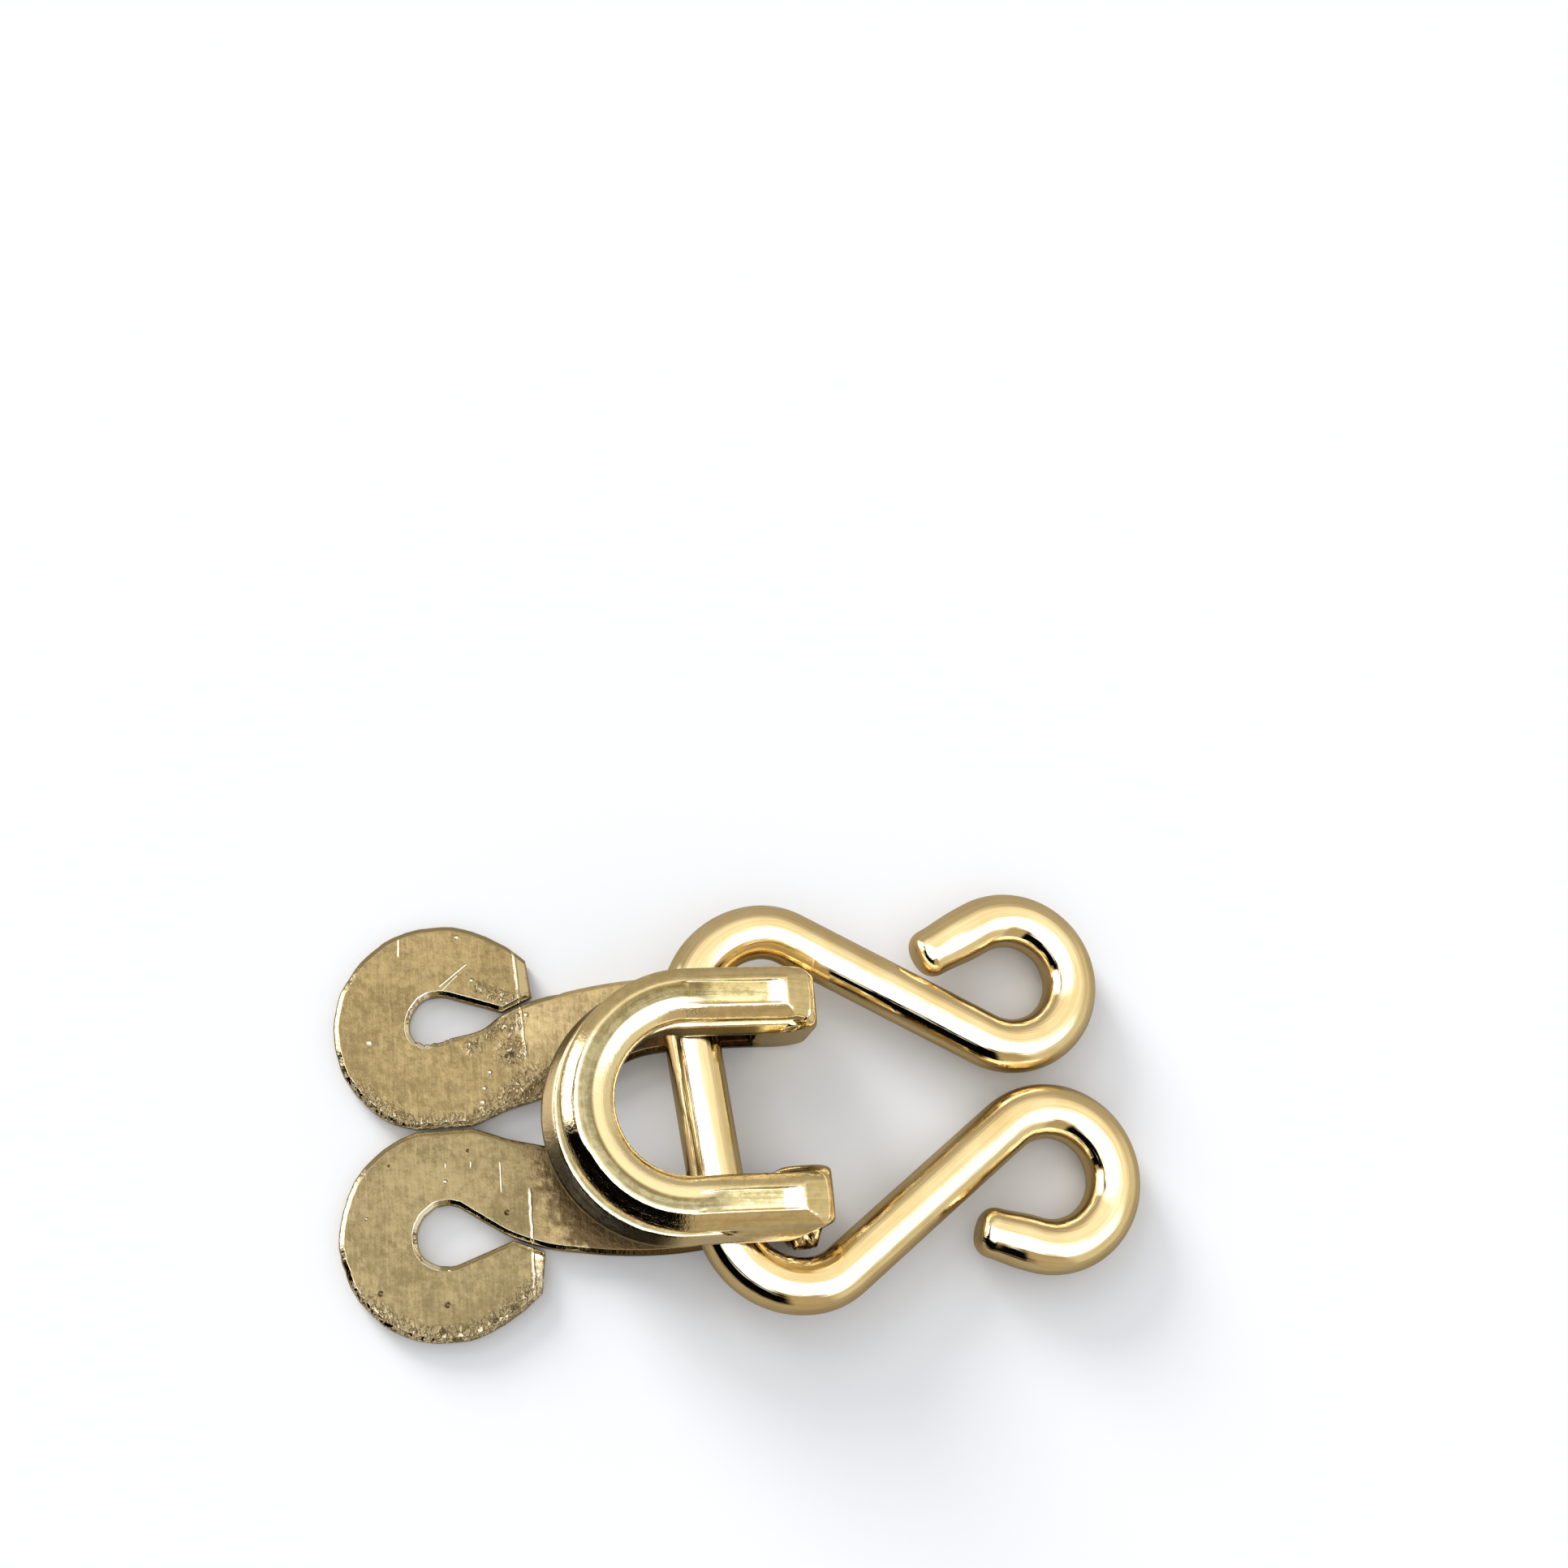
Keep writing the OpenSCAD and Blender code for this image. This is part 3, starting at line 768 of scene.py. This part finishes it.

    # the cut end of the near tab and the press line get a painted highlight; scratches and raised specks are
    # lighter; crumpled metal on the tabs
    marks = g.largest(raised, lines, line)
    marks_and_highlight = g.largest(g.times(cut_end_highlight(g, x, y, where), 0.85), g.times(marks, g.times(on_tabs, 0.8)))
    colour = g.mix(marks_and_highlight, colour, (0.97, 0.86, 0.62))
    shreds = g.step(g.noise(g.scaled(where, (1.0, 0.6, 1.0)), 6.5, 4.0, 0.65, 0.6), 0.46, 0.6)
    burred = g.times(edge_burrs(g, flat, y), on_tabs)
    rubbed = g.largest(g.times(g.spots(flat, CRUMPLED), flatness), burred)
    rubbed_tint = g.mix(shreds, (0.28, 0.21, 0.105), (0.84, 0.71, 0.45))
    colour = g.mix(g.times(rubbed, 0.55), colour, rubbed_tint)
    # painted shadow along the inner edges of the stems
    stem_shadow = g.times(stem_shadow_mask(g, x, y, mottle), on_tabs, flatness, g.step(x, -7.1, -6.6))
    colour = g.mix(g.times(stem_shadow, 0.8), colour, (0.19, 0.125, 0.055))

    # torn metal under the near fold
    tear = g.times(g.step(x, 2.9, 3.1), g.step(x, 4.6, 4.5), g.step(y, -4.45, -4.6), g.step(z, 2.5, 2.3))
    tears = g.step(g.noise(g.scaled(where, (1.3, 1.0, 1.0)), 3.6, 2.0), 0.5, 0.56)
    colour = g.mix(g.times(tear, 0.85), colour, g.mix(tears, (0.10, 0.05, 0.02), (0.95, 0.80, 0.52)))

    # painted highlight: two white squares on the flats at the brow of the bill
    rim = 0.06
    for x0, x1, y0, y1 in ((3.0, 3.6, 3.07, 3.77), (2.85, 3.55, -4.05, -3.37)):
        brow_highlight = g.times(g.step(x, x0 - rim, x0 + rim), g.step(x, x1 + rim, x1 - rim),
                         g.step(y, y0 - rim, y0 + rim), g.step(y, y1 + rim, y1 - rim), on_bill)
        colour = g.mix(g.times(brow_highlight, 0.9), colour, (1.0, 0.98, 0.9))
    colour = g.mix(g.times(sunk, g.times(on_tabs, 0.75)), colour, (0.08, 0.055, 0.028))

    roughness = g.plus(g.step(flatness, 0.0, 1.0, 0.08, 0.35), g.times(shaded_foot, 0.2),
                       g.times(on_bill, flatness, -0.08), g.wobble(mottle, 0.1))

    stamped = g.plus(raised, g.times(sunk, -1.2), g.times(lines, 0.6), g.times(line, 0.7))
    relief = g.plus(g.times(mottle, 0.6), g.times(streaks, 0.2))
    relief = g.times(relief, g.step(on_bill, 0.0, 1.0, 1.0, 0.3))
    relief = g.plus(relief, g.times(on_bill, g.times(drawn, 0.3)), g.times(stamped, on_tabs),
                    g.times(rubbed, g.times(shreds, 1.5)))
    normal = g.bump(relief, 0.00004, 0.9)
    return colour, roughness, g.bump(grain, 0.000008, 0.6, normal)


hook.data.materials.append(metal("hook_gold", hook_metal))
eye.data.materials.append(metal("eye_gold", eye_metal))
for piece, node, slot in ((hook, "hook", "hook_metal"), (eye, "eye", "eye_metal")):
    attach(piece, "root")
    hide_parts(node)


# Surroundings: a white tent overhead, a window behind the tabs, and a dark room beside it.
world = bpy.data.worlds.new("studio")
bpy.context.scene.world = world
world.use_nodes = True
world.node_tree.nodes.clear()
sky = Graph(world.node_tree)
X, Y, Z = sky.axes(sky.node("TexCoord").outputs["Generated"])

# Azimuth is 0 towards the near left, where it is darkest. Both angles are in degrees.
ahead = sky.plus(sky.times(X, -0.7071), sky.times(Y, -0.7071))
aside = sky.plus(sky.times(X, 0.7071), sky.times(Y, -0.7071))
azimuth = sky.times(sky.math("ARCTAN2", aside, ahead), math.degrees(1))
elevation = sky.times(sky.math("ARCSINE", Z), math.degrees(1))

WALLS = (0.48, 0.42, 0.31)
TENT_NEAR, TENT_FAR = (2.15, 2.4, 2.95), (1.15, 1.06, 0.84)
# Each patch has a start, end and softness in azimuth and in elevation, and a colour. Later ones lie on top.
PATCHES = [
    # brighter wall on the near right, and its darker edge
    ((60, 160, 10), (-20, 32, 10), (0.72, 0.66, 0.48)),
    ((36, 72, 5), (-20, 50, 6), (0.50, 0.41, 0.27)),
    # dark frame on the far left, with a window in it and a bright strip above
    ((-85, -30, 10), (14, 46, 5), (0.19, 0.14, 0.08)),
    ((-83, -42, 7), (-12, 32, 5), (4.0, 3.9, 3.7)),
    ((-80, -10, 10), (49, 66, 3), (5.0, 4.9, 4.7)),
    # dark room on the near left
    ((-45, 43, 3), (-16, 42, 3), (0.0, 0.0, 0.0)),
]


def between(value, start, end, soft):
    """1 from start to end, fading to 0 beside them."""
    rise = sky.step(value, start - soft, start + soft)
    return sky.times(rise, sky.step(value, end - soft, end + soft, 1.0, 0.0))


far_side = sky.plus(sky.times(X, 0.5), sky.times(Y, 0.866))
light = sky.mix(sky.step(far_side, 0.06, 0.34), TENT_NEAR, TENT_FAR)
light = sky.mix(sky.step(elevation, 20, 48), WALLS, light)
for round_it, up_it, colour in PATCHES:
    light = sky.mix(sky.times(between(azimuth, *round_it), between(elevation, *up_it)), light, colour)
ray = sky.node("LightPath").outputs
seen = sky.mix(ray["Is Glossy Ray"], (0.78, 0.78, 0.79), light)
seen = sky.mix(ray["Is Camera Ray"], seen, (1.0, 1.0, 1.0))
background = sky.node("Background", {"Color": seen})
sky.node("OutputWorld", {"Surface": background.outputs[0]})

# Two soft lights from the far left, for the shadow only.
KEY_AZIMUTH = math.radians(122)
for name, height, strength in (("low_key", 20, 2.6), ("high_key", 45, 0.35)):
    key_data = bpy.data.lights.new(name, "SUN")
    key_data.angle = 0.4
    key_data.energy = strength
    key = bpy.data.objects.new(name, key_data)
    towards = Vector((math.cos(KEY_AZIMUTH), math.sin(KEY_AZIMUTH), math.tan(math.radians(height))))
    key.rotation_euler = towards.to_track_quat("Z", "Y").to_euler()
    key.visible_glossy = False
    bpy.context.scene.collection.objects.link(key)

# Floor, which the metal mirrors darker and warmer than it looks.
bpy.ops.mesh.primitive_plane_add(size=1.2, location=(0, 0, 0))
floor = bpy.context.object
floor.name = "floor"
floor_material, g, floor_shader = new_material("floor_white")
mirrored = g.node("LightPath").outputs["Is Glossy Ray"]
g.put(floor_shader["Base Color"], g.mix(mirrored, (0.875, 0.89, 0.91), (0.40, 0.35, 0.26)))
g.put(floor_shader["Roughness"], 0.9)
g.put(floor_shader["Specular IOR Level"], 0.0)
floor.data.materials.append(floor_material)

bpy.context.scene.view_settings.view_transform = "Standard"
